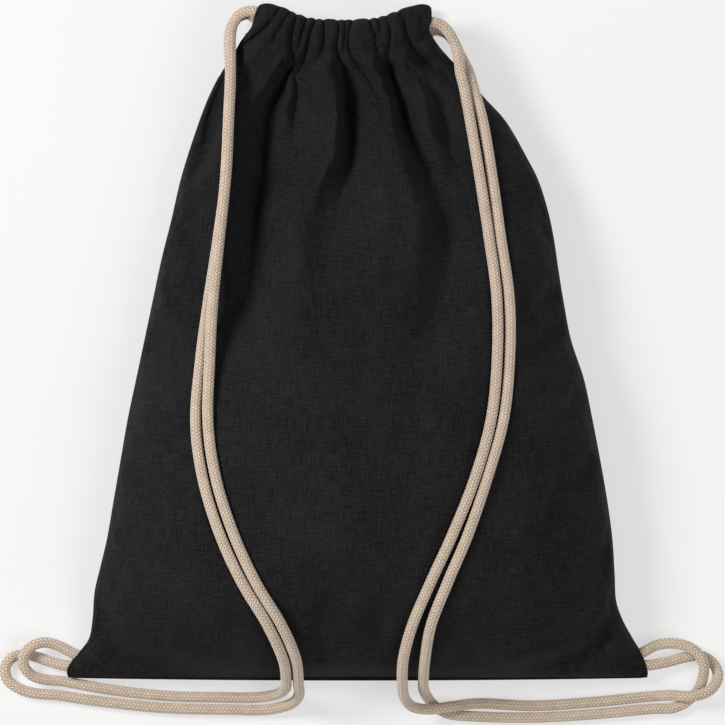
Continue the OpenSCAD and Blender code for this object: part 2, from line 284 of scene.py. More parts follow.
def mesh_object(name, points, faces, finish, uv_name=None, uv=None):
    """An object from points in metres. uv has one pair for each face corner, in order."""
    mesh = bpy.data.meshes.new(name)
    mesh.from_pydata([tuple(p) for p in np.asarray(points, float)], [], [tuple(f) for f in faces])
    mesh.update()
    mesh.polygons.foreach_set("use_smooth", [True] * len(mesh.polygons))
    if uv_name:
        layer = mesh.uv_layers.new(name=uv_name)
        layer.data.foreach_set("uv", np.asarray(uv, np.float32).ravel())
    mesh.materials.append(finish)
    made = bpy.data.objects.new(name, mesh)
    bpy.context.scene.collection.objects.link(made)
    return made


def grid_quads(rows, columns, around=False):
    """Corner indices of a grid's quads; around joins its last column to its first."""
    r = np.arange(rows - 1)[:, None]
    c = np.arange(columns if around else columns - 1)[None, :]
    d = (c + 1) % columns
    return np.stack([r * columns + c, r * columns + d, (r + 1) * columns + d,
                     (r + 1) * columns + c], axis=-1).reshape(-1, 4)


CURVE_STEPS = 24


def smooth_path(points, step):
    """Evenly spaced points on a centripetal curve through the given ones."""
    p = np.array(points, float)
    p = np.vstack([2 * p[0] - p[1], p, 2 * p[-1] - p[-2]])
    t = np.concatenate([[0], np.cumsum(np.linalg.norm(np.diff(p, axis=0), axis=1) ** 0.5)])
    curve = []
    for k in range(1, len(p) - 2):
        at = np.linspace(t[k], t[k + 1], CURVE_STEPS, endpoint=False)[:, None]

        def between(a, b, i, j):
            return ((t[j] - at) * a + (at - t[i]) * b) / (t[j] - t[i])

        a, b, c = (between(p[k + i], p[k + i + 1], k + i, k + i + 1) for i in (-1, 0, 1))
        curve.append(between(between(a, b, k - 1, k + 1), between(b, c, k, k + 2), k, k + 1))
    curve = np.vstack(curve + [p[-2][None]])
    run = steps_along(curve)
    even = np.linspace(0, run[-1], max(int(round(run[-1] / step)), 2) + 1)
    return np.stack([np.interp(even, run, curve[:, i]) for i in range(curve.shape[1])], axis=1)


def steps_along(line):
    """Distance from the first point to each point of a line."""
    return np.concatenate([[0], np.cumsum(np.linalg.norm(np.diff(line, axis=0), axis=1))])


def unit(vectors):
    return vectors / np.linalg.norm(vectors, axis=-1, keepdims=True)


def ease(a):
    """0 to 1 with soft ends."""
    c = np.clip(a, 0, 1)
    return c * c * (3 - 2 * c)


def share(s, first, last):
    """How far s has come from first to last, 0 to 1."""
    return np.clip((s - first) / (last - first), 0, 1)


# --- cord routes, within a few millimetres of the frame's solids ------------------------------------
CORD = 0.007
MOUTH_SHIFT = -0.009
HEM_RADIUS = 0.184
MOUTH_HALF = 0.0575
LEFT_INSET = 0.006
CORD_PITCH = 0.008
FRONT_HEM_Z = 0.037
BACK_HEM_Z = 0.009
HEM_END = math.asin(MOUTH_HALF / (HEM_RADIUS + LEFT_INSET))
HEM_END_Y = 0.2195
HEM_AXIS_Y = HEM_END_Y + HEM_RADIUS * math.cos(HEM_END)
TURN_RADIUS = (FRONT_HEM_Z - BACK_HEM_Z) / 2
TURN_INSET = TURN_RADIUS + 0.003
TURN_LEAD = math.radians(3)
MOUTH_LEAD = math.radians(1)

LEFT_FRONT = [
    (-0.082, 0.2006, 0.0367), (-0.082, 0.19, 0.0415), (-0.082, 0.174, 0.048),
    (-0.083, 0.15, 0.053), (-0.085, 0.108, 0.06), (-0.089, 0.068, 0.067),
    (-0.093, 0.028, 0.074), (-0.095, -0.01, 0.077), (-0.096, -0.05, 0.08),
    (-0.091, -0.085, 0.083), (-0.08, -0.12, 0.085), (-0.0655, -0.152, 0.0835),
    (-0.0489, -0.18, 0.0755), (-0.0395, -0.203, 0.059), (-0.038, -0.219, 0.041),
    (-0.038, -0.228, 0.022), (-0.044, -0.234, 0.009), (-0.058, -0.2375, 0.004),
    (-0.085, -0.2375, 0.004), (-0.125, -0.2365, 0.004), (-0.159, -0.2332, 0.004),
]
LEFT_BACK = [
    (-0.083, 0.2008, 0.0268), (-0.083, 0.19, 0.0335), (-0.082, 0.174, 0.04),
    (-0.083, 0.15, 0.045), (-0.085, 0.108, 0.052), (-0.09, 0.068, 0.059),
    (-0.096, 0.028, 0.067), (-0.101, -0.01, 0.072), (-0.104, -0.05, 0.076),
    (-0.0995, -0.085, 0.08), (-0.089, -0.12, 0.083), (-0.0745, -0.152, 0.0825),
    (-0.0579, -0.18, 0.0755), (-0.0475, -0.204, 0.059), (-0.046, -0.2185, 0.0395),
    (-0.047, -0.2235, 0.024), (-0.052, -0.227, 0.011), (-0.064, -0.2295, 0.0045),
    (-0.09, -0.2295, 0.004), (-0.125, -0.2285, 0.004), (-0.158, -0.225, 0.004),
]
LEFT_FRONT_TAIL = [
    (-0.1606, -0.233, 0.004), (-0.18, -0.2305, 0.004), (-0.1955, -0.228, 0.004),
    (-0.209, -0.227, 0.004), (-0.22, -0.224, 0.004), (-0.228, -0.218, 0.004),
    (-0.2295, -0.21, 0.004), (-0.225, -0.2035, 0.004), (-0.217, -0.2015, 0.004),
    (-0.208, -0.2035, 0.004), (-0.199, -0.2065, 0.006), (-0.189, -0.2085, 0.0085),
]
LEFT_BACK_TAIL = [
    (-0.1596, -0.2248, 0.004), (-0.176, -0.222, 0.004), (-0.1922, -0.219, 0.004),
    (-0.203, -0.218, 0.0045), (-0.212, -0.215, 0.007), (-0.217, -0.209, 0.01),
    (-0.217, -0.202, 0.012), (-0.212, -0.196, 0.012), (-0.204, -0.1935, 0.0105),
    (-0.195, -0.1955, 0.009), (-0.1855, -0.2005, 0.0085),
]
RIGHT_FRONT = [
    (0.0672, 0.1767, 0.0394), (0.0694, 0.168, 0.041), (0.0734, 0.146, 0.045), (0.0794, 0.11, 0.053),
    (0.0854, 0.07, 0.06), (0.0904, 0.03, 0.067), (0.0904, -0.01, 0.0755), (0.0864, -0.048, 0.081),
    (0.0754, -0.087, 0.086), (0.0614, -0.122, 0.088), (0.0477, -0.152, 0.085),
    (0.0359, -0.18, 0.0765), (0.03, -0.203, 0.0595), (0.0295, -0.219, 0.041),
    (0.031, -0.229, 0.027), (0.036, -0.235, 0.0185), (0.046, -0.237, 0.0135),
    (0.06, -0.2355, 0.0115), (0.078, -0.2335, 0.0055), (0.115, -0.235, 0.004),
    (0.155, -0.2325, 0.004), (0.1905, -0.229, 0.004),
]
RIGHT_BACK = [
    (0.073, 0.1767, 0.0327), (0.0754, 0.168, 0.0365), (0.0814, 0.146, 0.042),
    (0.0874, 0.11, 0.05), (0.0929, 0.07, 0.058), (0.0984, 0.03, 0.065), (0.0984, -0.01, 0.073),
    (0.0944, -0.048, 0.0795), (0.0834, -0.087, 0.0845), (0.0714, -0.122, 0.087),
    (0.0587, -0.152, 0.085), (0.0479, -0.18, 0.076), (0.044, -0.203, 0.0595),
    (0.043, -0.2185, 0.0395), (0.0435, -0.224, 0.022), (0.046, -0.2295, 0.0085),
    (0.05, -0.2345, 0.0045), (0.059, -0.24, 0.004), (0.078, -0.242, 0.004),
    (0.115, -0.2427, 0.004), (0.155, -0.2405, 0.004), (0.193, -0.237, 0.004),
]
RIGHT_FRONT_TAIL = [
    (0.1912, -0.229, 0.004), (0.198, -0.2284, 0.0045), (0.206, -0.228, 0.0075),
    (0.215, -0.2285, 0.0115), (0.224, -0.2275, 0.012), (0.232, -0.223, 0.0105),
    (0.2355, -0.215, 0.0075), (0.232, -0.207, 0.005), (0.224, -0.2025, 0.004),
    (0.214, -0.2035, 0.004), (0.202, -0.2065, 0.006), (0.189, -0.2085, 0.0085),
]
RIGHT_BACK_TAIL = [
    (0.1935, -0.237, 0.004), (0.206, -0.2365, 0.004), (0.215, -0.2325, 0.004),
    (0.222, -0.2255, 0.004), (0.2255, -0.217, 0.0075), (0.226, -0.2085, 0.0115),
    (0.222, -0.2005, 0.012), (0.214, -0.1955, 0.012), (0.204, -0.194, 0.0105),
    (0.195, -0.1955, 0.009), (0.1855, -0.2005, 0.0085),
]


def hem_point(radius, angle, z):
    """A point on one of the hem's arcs; angle 0 is the middle of the mouth."""
    return (MOUTH_SHIFT + radius * math.sin(angle), HEM_AXIS_Y - radius * math.cos(angle), z)


def hem_run(radius, first, last, z):
    """Six points along a hem's arc."""
    return [hem_point(radius, first + (last - first) * k / 5, z) for k in range(6)]


def turn_back(radius, angle, side):
    """From the front tunnel round into the back one."""
    x, y, _ = hem_point(radius, angle, 0)
    middle = (FRONT_HEM_Z + BACK_HEM_Z) / 2
    return [(x + side * math.cos(angle) * TURN_RADIUS * math.sin(a),
             y + side * math.sin(angle) * TURN_RADIUS * math.sin(a),
             middle + TURN_RADIUS * math.cos(a)) for a in np.radians([0, 45, 90, 135, 180])]


LEFT_R = HEM_RADIUS + LEFT_INSET
RIGHT_R = LEFT_R + CORD_PITCH
LEFT_TURN = math.asin((MOUTH_HALF - TURN_INSET) / LEFT_R)
RIGHT_TURN = math.asin((MOUTH_HALF - TURN_INSET) / RIGHT_R)

LEFT_IN_HEM = [
    (-0.0806, 0.2085, 0.0336), (-0.0765, 0.2145, 0.0350), (-0.0700, 0.2172, 0.0365),
    (-0.0625, 0.2157, 0.0372),
    *hem_run(LEFT_R, -HEM_END, LEFT_TURN - TURN_LEAD, FRONT_HEM_Z)[1:],
    *turn_back(LEFT_R, LEFT_TURN, 1),
    *hem_run(LEFT_R, LEFT_TURN - TURN_LEAD, -HEM_END, BACK_HEM_Z),
    (-0.0705, 0.2162, 0.0095), (-0.0770, 0.2142, 0.013), (-0.0812, 0.2085, 0.020),
]
RIGHT_IN_HEM = [
    (0.0662, 0.1850, 0.0382), (0.0643, 0.1935, 0.0370), (0.0606, 0.2015, 0.0365),
    (0.0553, 0.2076, 0.0372), (0.0488, 0.2098, 0.0385), (0.0412, 0.2070, 0.0390),
    *hem_run(RIGHT_R, HEM_END - MOUTH_LEAD, TURN_LEAD - RIGHT_TURN, FRONT_HEM_Z)[1:],
    *turn_back(RIGHT_R, -RIGHT_TURN, -1),
    *hem_run(RIGHT_R, TURN_LEAD - RIGHT_TURN, HEM_END - MOUTH_LEAD, BACK_HEM_Z),
    (0.0535, 0.2055, 0.0095), (0.0590, 0.2030, 0.0110), (0.0630, 0.1980, 0.0145),
    (0.0665, 0.1905, 0.0210), (0.0702, 0.1830, 0.0280),
]

LEFT_SEWN_IN = (-0.1825, -0.2080, 0.0088), (-0.1775, -0.2040, 0.0088)
RIGHT_SEWN_IN = (0.1815, -0.2080, 0.0088), (0.1780, -0.2035, 0.0088)
FRONT_TUNNEL_CORDS = LEFT_IN_HEM[1:10], RIGHT_IN_HEM[3:12]
BACK_TUNNEL_CORDS = LEFT_IN_HEM[13:21], RIGHT_IN_HEM[15:23]

CORD_SIDES = 36
RING_STEP = 0.0006
BRAID_RISE = 0.00030
BRAID_SINK = 0.00018


def braid_height(around, along):
    """Height of the yarns over the cord's body, 0 to 1; around is in turns and along in metres."""
    right, left = around * YARNS + along / YARN_PITCH, around * YARNS - along / YARN_PITCH
    step = (np.floor(right) + np.floor(left)) % 4
    on_top = step < 1.5
    across = np.where(on_top, right % 1, left % 1)
    run = np.where(on_top, (step + left % 1) / 2, (step - 2 + right % 1) / 2)
    return np.sin(across * math.pi) * np.sqrt(np.abs(np.sin(run * math.pi)))


def carried_normals(path):
    """One normal per point, carried along the path without twisting."""
    ahead = unit(np.gradient(path, axis=0))
    normal = UP
    out = np.empty_like(path)
    for k, t in enumerate(ahead):
        normal = unit(normal - t * normal.dot(t))
        out[k] = normal
    return out, np.cross(ahead, out)


def braided_tube(name, path, normals, sides, run):
    """A cord's piece as a mesh: a tube whose rings rise and fall with the braid."""
    turn = np.arange(CORD_SIDES) / CORD_SIDES
    angle = 2 * math.pi * turn[None, :]
    radius = CORD / 2 - BRAID_SINK + BRAID_RISE * braid_height(turn[None, :], run[:, None])
    points = (path[:, None] + radius[..., None] * (np.cos(angle)[..., None] * normals[:, None]
                                                   + np.sin(angle)[..., None] * sides[:, None]))
    rings = len(path)
    faces = [list(q) for q in grid_quads(rings, CORD_SIDES, around=True)]
    r = np.repeat(np.arange(rings - 1), CORD_SIDES)
    c = np.tile(np.arange(CORD_SIDES), rings - 1)
    u0, u1 = c / CORD_SIDES, (c + 1) / CORD_SIDES
    corners = np.stack([np.stack([u0, run[r]], -1), np.stack([u1, run[r]], -1),
                        np.stack([u1, run[r + 1]], -1), np.stack([u0, run[r + 1]], -1)], axis=1)
    caps = [(k / CORD_SIDES, run[0]) for k in reversed(range(CORD_SIDES))]
    caps += [(k / CORD_SIDES, run[-1]) for k in range(CORD_SIDES)]
    return mesh_object(name, points.reshape(-1, 3), faces + end_caps(rings, CORD_SIDES), BRAID,
                       "braid", np.vstack([corners.reshape(-1, 2), caps]))


# --- the bag's outline, millimetres -----------------------------------------------------------------
LEFT_EDGE = [(-188, -218), (-189, -212), (-187, -207), (-181, -200), (-174.5, -191), (-172, -178),
             (-170.5, -160), (-167, -145), (-162.5, -126), (-158, -100), (-153.5, -74), (-149, -48),
             (-143.5, -22), (-138, 4), (-132.5, 30), (-127, 56), (-120.5, 82), (-114.5, 108),
             (-106.5, 134), (-97, 160), (-88, 178), (-80, 190), (-75.5, 198), (-69, 206),
             (-67, 213), (-64.5, 220)]
RIGHT_EDGE = [(189, -218), (189.5, -213), (188, -207), (185, -200), (179, -190), (172.5, -178),
              (168.5, -166), (167.5, -150), (166, -126), (162.5, -100), (158, -74), (153, -48),
              (147.5, -22), (139, 4), (134, 30), (130.5, 52), (128, 69), (124.5, 86),
              (118, 107), (111, 121), (96.5, 146), (82, 162), (69, 178), (59, 188), (50.5, 198),
              (47, 205), (48.5, 213), (48.5, 220)]
BOTTOM_Y = -216.5
TOP_Y = 210.9
HEM_HEIGHT = 20.0
CLOTH_RUN = TOP_Y - BOTTOM_Y
STITCH_V = 1 - HEM_HEIGHT / CLOTH_RUN
HEM_V = 0.952
GATHER_V = 0.62
BOTTOM_BOW = 1.5
HEM_END_ROUND = 6.5
HEM_END_LIFT = 3.6

SIDE_Z = 23.0
CORNER_Z = 8.6
CORNER_RISE = 70.0
SEAM_ARCH = 6.0
FILL_Z = 88.0
FRONT_TOP = 47.0
FRONT_MID = FRONT_HEM_Z / MM
BACK_MID = BACK_HEM_Z / MM


def edge_line(points):
    """Dense (x, y) pairs along one side of the outline."""
    return smooth_path([(x, y, 0) for x, y in points], 1.0)


LEFT_LINE, RIGHT_LINE = edge_line(LEFT_EDGE), edge_line(RIGHT_EDGE)


def edge_x(line, y):
    return np.interp(y, line[:, 1], line[:, 0])


def arc_rise(x, v):
    """How far the mouth's curve lifts the cloth here: fully at the top edge, not at all lower down."""
    reach = HEM_RADIUS / MM
    off = np.clip(np.abs(x - MOUTH_SHIFT / MM), 0, MOUTH_HALF / MM + 6)
    return (reach - np.sqrt(reach ** 2 - off ** 2)) * ease(share(v, GATHER_V, 1))


def cloth_place(u, v):
    """Where a point of the cloth lies seen from above; u runs -1 to 1 and v from seam to top edge."""
    y = BOTTOM_Y + v * CLOTH_RUN - BOTTOM_BOW * (1 - u * u) * (1 - ease(v / 0.1))
    top = y
    for _ in range(3):
        left, right = edge_x(LEFT_LINE, top), edge_x(RIGHT_LINE, top)
        x = left + (right - left) * (u + 1) / 2
        top = y + arc_rise(x, v)
    rounding = 1 - np.sqrt(1 - share(np.abs(u), 0.80, 1.0) ** 2)
    lift = 1 + HEM_END_LIFT * ease(share(np.abs(u), 0.35, 0.75)) * (1 - 0.12 * np.sign(u))
    return x, top + (lift - HEM_END_ROUND * rounding) * ease(share(v, HEM_V, 1.0))


def seam_height(s):
    """Height of the side seam at a distance s above the bottom seam."""
    return CORNER_Z + (SIDE_Z - CORNER_Z) * ease(s / CORNER_RISE)


def hem_shoulder(hem):
    """How the hem's height rounds off to its fold; hem runs 0 at the stitching to 1 at the fold."""
    return np.sqrt(np.clip(1 - share(hem, 0.45, 1) ** 2, 0, 1))


def waves(x, y, length, seed, stretch=(1.0, 1.0), count=14):
    """Smooth noise of about that wavelength, from a few crossing waves."""
    draw = np.random.default_rng(seed)
    total = np.zeros(np.broadcast(x, y).shape)
    for _ in range(count):
        angle, phase = draw.uniform(0, 2 * math.pi, 2)
        k = 2 * math.pi / (length * draw.uniform(0.7, 1.5))
        total += np.sin(k * (math.cos(angle) * x / stretch[0] + math.sin(angle) * y / stretch[1])
                        + phase)
    return total / math.sqrt(count / 2) / 1.5


# Creases as (x, y, depth, left reach, right reach) along each, from the mouth downwards. The reach
# is how far the cloth takes to come back up on that side.
CREASES = [
    # mouth's left end
    [(-51, 219, 2.5, 4, 4), (-55, 212, 4.5, 5, 5), (-61, 205, 5.5, 6, 5), (-69, 198.5, 5.5, 7, 6),
     (-76, 192.5, 5, 8, 7), (-86, 184, 2, 9, 8)],
    [(-44, 217, 3, 3, 4), (-47.5, 211, 3.5, 4, 4), (-51, 205, 3.5, 4, 5), (-54.5, 197, 2.5, 5, 6),
     (-56.5, 189, 1, 6, 7)],
    # first deep fold
    [(-39, 216, 3.2, 3, 3), (-41.5, 205, 4, 4, 3.5), (-43, 195, 5, 5, 5), (-41.8, 185, 7, 5, 5),
     (-45, 178, 9.5, 6, 6), (-51.4, 166, 11.5, 7, 9), (-57, 154, 12, 8, 12), (-60.5, 138, 11.5, 9, 15),
     (-62.5, 120, 12, 11, 18), (-66, 95, 12, 14, 22), (-69, 69, 11, 17, 25), (-71, 43, 9, 20, 28),
     (-72, 12, 5.5, 24, 30), (-73, -20, 1.5, 26, 32)],
    [(-32, 214, 3.2, 3.5, 3), (-35, 206, 4, 4, 3.5), (-37, 198, 4, 4, 4), (-38.5, 189, 2.5, 5, 4)],
    # second deep fold
    [(-26.5, 213, 3.2, 3, 3.5), (-30, 204, 4, 3.5, 4), (-32.5, 193, 5.5, 4, 5),
     (-35, 184, 7, 4.5, 6), (-38, 174, 8.5, 6, 7), (-39.8, 155, 8, 7, 9), (-41.5, 136, 5.5, 9, 11),
     (-44, 112, 2, 12, 14)],
    [(-22, 213.5, 3, 3, 3), (-21.5, 202, 3.8, 3.5, 3.5), (-23, 191, 3.5, 4, 4), (-27, 183, 2, 5, 5),
     (-30, 174, 0.5, 6, 6)],
    # deep fold down the middle, steep on its left and wide on its right
    [(-12.5, 211.5, 3.2, 3, 3), (-11.7, 203, 4, 3.5, 3), (-13.4, 195, 4.5, 3.5, 3.5),
     (-12.6, 187, 7, 3.5, 6), (-10.6, 171, 12, 3.5, 12), (-9.8, 153, 13.5, 4, 15),
     (-9.6, 138, 13.5, 5, 17), (-10.2, 118, 12.5, 7, 20), (-14, 97, 10.5, 11, 24),
     (-19, 69, 7.5, 15, 28), (-22.5, 43, 5, 18, 30), (-25, 15, 2.6, 22, 32),
     (-27, -14, 0.6, 24, 34)],
    [(-8, 212, 2.5, 2.5, 3), (-7.6, 205, 3.5, 3, 3), (-8.6, 196, 3.5, 3, 3.5), (-9, 188, 2, 3, 5)],
    [(-2.6, 212, 3, 3, 3.5), (-5, 205, 3.6, 3, 4), (-5.2, 191, 4, 3, 5), (-0.5, 183, 4.5, 4, 5),
     (5, 174, 4, 5, 6), (9, 163, 2.5, 7, 8), (12, 150, 0.8, 9, 10)],
    [(8, 213, 3.2, 3.5, 3), (10, 206, 4, 4, 3), (12, 202, 4, 4, 3.5), (11.8, 196, 4, 3.5, 4),
     (14.3, 188.5, 4.8, 4, 5), (18, 181, 5, 4.5, 6), (22, 171, 3.5, 5, 7), (25, 160, 1, 7, 9)],
    [(13, 214, 2.6, 3, 3), (15, 206, 3.2, 3, 3), (14, 199, 2.5, 3, 3), (15, 193, 1, 3, 3)],
    # fold right of the middle
    [(19, 214.5, 3.2, 3.5, 3), (21.8, 204, 4, 4, 3.5), (20.8, 194, 4.5, 4, 4),
     (19.8, 187, 6, 4, 5), (22, 171, 8.5, 5, 7), (26, 153, 11, 6, 9), (29, 140, 11.5, 6.5, 10),
     (34, 127, 11, 8, 12), (40.5, 113, 10.5, 10, 14), (47.5, 100, 10.5, 12, 17),
     (53, 86, 10, 14, 20), (57, 67, 9, 17, 24), (56, 43, 7, 20, 28), (53, 15, 4, 24, 32),
     (50, -14, 1, 26, 34)],
    # mouth's right end
    [(26, 217, 3.2, 3, 3), (30.2, 212, 4, 3.5, 4), (32, 202, 4, 4, 4), (35, 195, 5.5, 4, 5),
     (40.5, 187, 7.5, 5, 6), (47, 181, 6, 6, 8), (54, 175, 4, 8, 10), (62, 164, 1.5, 10, 12)],
    [(38, 219, 1.5, 4, 4), (42, 210, 2, 4, 4), (43, 200, 1, 5, 5)],
    [(41, 180, 2, 5, 6), (46, 168, 4, 6, 7), (51, 154, 6, 7, 9), (54.5, 141, 6.5, 8, 11),
     (58, 127, 6.5, 10, 13), (64, 108, 5.5, 13, 17), (70, 88, 3.5, 16, 20), (74, 64, 1, 18, 22)],
    # long soft folds of the body
    [(-90, 177, 1, 8, 8), (-95, 158, 3.5, 10, 11), (-99, 130, 4, 12, 13), (-103, 95, 3.6, 13, 15),
     (-106, 55, 3, 15, 18), (-109, 10, 2, 18, 22), (-113, -40, 0.8, 22, 26)],
    [(-28, 78, 0.5, 14, 14), (-27, 56, 1.8, 16, 16), (-25, 28, 2, 18, 18), (-22, 0, 1.4, 20, 22),
     (-18, -36, 0.4, 24, 24)],
    [(52, 62, 0.6, 14, 14), (50, 38, 2, 15, 17), (48, 12, 2.2, 16, 20), (44, -20, 1.5, 18, 24),
     (38, -60, 0.5, 22, 26)],
    [(121, 88, 1, 6, 8), (125, 76, 3, 8, 8), (129, 58, 3.6, 10, 8), (133, 36, 3, 11, 8),
     (138, 14, 1.6, 12, 8), (143, -10, 0.5, 13, 8)],
    [(72, 30, 0.5, 14, 14), (78, -5, 1.8, 16, 18), (82, -50, 2, 18, 22), (80, -100, 1.2, 22, 26),
     (74, -140, 0.3, 26, 30)],
    # corner ears
    [(-176, -186, 1, 5, 6), (-171, -191, 3, 6, 8), (-161, -201, 4.5, 8, 12), (-138, -207, 3.2, 10, 14),
     (-112, -211, 1.2, 12, 16)],
    [(168, -160, 0.8, 6, 5), (166, -176, 2.5, 8, 6), (158, -191, 3.8, 12, 9),
     (143, -202, 2.4, 14, 11), (118, -209, 0.8, 16, 12)],
]


FOLD_SPAN, FOLD_LEAD, REACH_GAIN = 45, 20, 1.35


def crease_depth(x, y, crisp):
    """How far the creases press the cloth in; where crisp is 1 they are slits between round ribs."""
    total = np.zeros(x.shape)
    for crease in CREASES:
        path = smooth_path(crease, 2.0)
        near = ((x > path[:, 0].min() - FOLD_SPAN) & (x < path[:, 0].max() + FOLD_SPAN)
                & (y > path[:, 1].min() - FOLD_LEAD) & (y < path[:, 1].max() + FOLD_LEAD))
        px, py = x[near], y[near]
        best = np.full(px.shape, 1e9)
        depth, side, left, right = (np.zeros(px.shape) for _ in range(4))
        for a, b in zip(path[:-1], path[1:]):
            d = b[:2] - a[:2]
            t = np.clip(((px - a[0]) * d[0] + (py - a[1]) * d[1]) / (d @ d), 0, 1)
            ox, oy = px - a[0] - t * d[0], py - a[1] - t * d[1]
            gap = np.hypot(ox, oy)
            closer = gap < best
            best = np.where(closer, gap, best)
            mixed = a[None, 2:5] + t[:, None] * (b - a)[None, 2:5]
            depth, left, right = (np.where(closer, mixed[:, i], old)
                                  for i, old in enumerate((depth, left, right)))
            side = np.where(closer, np.sign(ox * -d[1] + oy * d[0]), side)
        reach = np.where(side > 0, right, left)
        off = np.clip(1 - best / (REACH_GAIN * reach), 0, 1)
        slit = 1 - np.sqrt(1 - off ** 2)
        fold = 0.5 * off ** 1.6 + 0.5 * ease(off)
        total[near] = np.maximum(total[near], 0) + depth * (fold + (slit - fold) * crisp[near])
    return total


def front_z(u, v, x, y):
    """Height of the front cloth, from the bottom seam to the top edge of the hem."""
    s = y - arc_rise(x, v) - BOTTOM_Y
    seam = seam_height(s)
    seam = seam + (FRONT_MID - 1 - seam) * ease(share(v, 0.90, STITCH_V))
    arch = SEAM_ARCH * (1 - u * u) * (1 - ease(s / 40))
    crown = FILL_Z - (FILL_Z - FRONT_TOP) * ease(share(s, 150, 410))
    end = (1 - (1 - share(s, 0, 120)) ** 2.2) ** 0.55
    round_side = np.maximum(1 - np.abs(u) ** 2.4, 0) ** 0.6
    square_side = np.maximum(1 - np.abs(u) ** 7, 0) ** 0.6
    bulge = round_side + (square_side - round_side) * ease(share(v, 0.88, STITCH_V))
    z = seam + arch * (1 - bulge) + (crown - seam) * end * bulge
    hem = share(v, STITCH_V, 1)
    swell = 1.2 * np.sin(np.clip(hem / 0.85, 0, 1) * math.pi)
    z = np.where(hem > 0, FRONT_MID + (z - FRONT_MID) * hem_shoulder(hem) + swell * bulge, z)
    return z, s, bulge


def panel_grid(columns, rows_body, rows_hem):
    """u and v of a panel's grid, close together at the sides and towards the hem."""
    u = np.sin(np.linspace(-90, 90, columns) * math.pi / 180)
    u = 0.45 * u + 0.55 * np.linspace(-1, 1, columns)
    t = np.linspace(0, 1, rows_body)
    body = STITCH_V * (0.62 * t + 0.38 * (1 - (1 - t) ** 2))
    hem = STITCH_V + (1 - STITCH_V) * np.sin(np.linspace(0, 90, rows_hem + 1)[1:] * math.pi / 180)
    return np.meshgrid(u, np.concatenate([body, hem]))


FRONT_COLUMNS, BACK_COLUMNS, PANEL_ROWS, HEM_ROWS, CORNER_ROWS = 241, 141, 200, 16, 30
FOLD_GAIN, HEM_GAIN, SCALLOP = 1.75, 1.45, 0.34
BACK_PLEATS, PLEAT_DEPTH, FLOOR_GAP = 6.5, 3.5, 0.5
CUT_WIDTH, CUT_LENGTH = 0.38, 0.46
PANEL_CLOTH, HEM_CLOTH = 0.8, 0.6


def front_cloth():
    """The front panel and the hem's outer face as one grid of points."""
    u, v = panel_grid(FRONT_COLUMNS, PANEL_ROWS, HEM_ROWS)
    x, y = cloth_place(u, v)
    z, s, bulge = front_z(u, v, x, y)
    inside = ease((1 - np.abs(u)) / 0.10)
    low = ease(s / 50)
    soft = 1 - ease(share(v, 0.72, 0.9))
    crisp = ease(share(v, 0.92, 0.955))
    pressed = crease_depth(x, y, crisp) * (FOLD_GAIN + (HEM_GAIN - FOLD_GAIN) * crisp)
    z = z - pressed * np.maximum(inside, ease(share(v, 0.86, 0.95)) * 0.8)
    y = y - SCALLOP * pressed * ease(share(v, 0.965, 1.0))
    z = z + 1.6 * waves(x, y, 95, 3, (1.0, 1.7)) * inside * low * soft
    z = z + 0.7 * waves(x, y, 42, 5, (0.8, 1.6)) * inside * (0.4 + 0.6 * low)
    z = z + 0.22 * waves(x, y, 17, 8, (0.8, 1.5)) * inside
    z = z + 0.5 * waves(x, y, 7.5, 31, (0.8, 3.0)) * crisp
    return u, v, np.stack([x, y, z], axis=-1)


def back_cloth():
    """The back panel and the underside of its hem as one grid of points."""
    u, v = panel_grid(BACK_COLUMNS, PANEL_ROWS, HEM_ROWS)
    x, y = cloth_place(u, v)
    s = y - arc_rise(x, v) - BOTTOM_Y
    seam = seam_height(s)
    seam = seam + (BACK_MID - seam) * ease(share(v, 0.90, STITCH_V))
    arch = SEAM_ARCH * (1 - u * u) * (1 - ease(s / 40))
    end = (1 - (1 - share(s, 0, 60)) ** 2.2) ** 0.55
    bulge = np.maximum(1 - np.abs(u) ** 2.4, 0) ** 0.6
    z = seam + arch - (seam + 1.5) * end * bulge
    pleat = 1 - np.abs(np.sin(math.pi * (BACK_PLEATS * u + 0.35 * np.sin(5 * u)))) ** 0.8
    z = z + PLEAT_DEPTH * pleat * ease(share(v, 0.66, 0.95)) * (1 - np.abs(u) ** 6)
    z = z + (0.5 + 0.5 * waves(x, y, 60, 21)) * bulge * (1 - ease(share(v, 0.8, 0.95)))
    hem = share(v, STITCH_V, 1)
    z = np.where(hem > 0, BACK_MID + (z - BACK_MID) * hem_shoulder(hem), z)
    return u, v, np.stack([x, y, np.maximum(z, FLOOR_GAP)], axis=-1)


def cloth_sheet(name, points, flat, thickness=PANEL_CLOTH, flip=False):
    """A cloth grid as a thin closed sheet, its weave laid along the flat cut."""
    rows, columns = points.shape[:2]
    quads = grid_quads(rows, columns)
    if flip:
        quads = quads[:, ::-1]
    made = mesh_object(name, points.reshape(-1, 3) * MM, quads, CANVAS, "cloth",
                       flat.reshape(-1, 2)[quads.ravel()])
    solid = made.modifiers.new("cloth", "SOLIDIFY")
    solid.thickness = thickness * MM
    solid.offset = -1
    graph = bpy.context.evaluated_depsgraph_get()
    mesh = bpy.data.meshes.new_from_object(made.evaluated_get(graph), depsgraph=graph)
    made.modifiers.clear()
    made.data = mesh
    return made


TUNNEL_HALF = 7.2


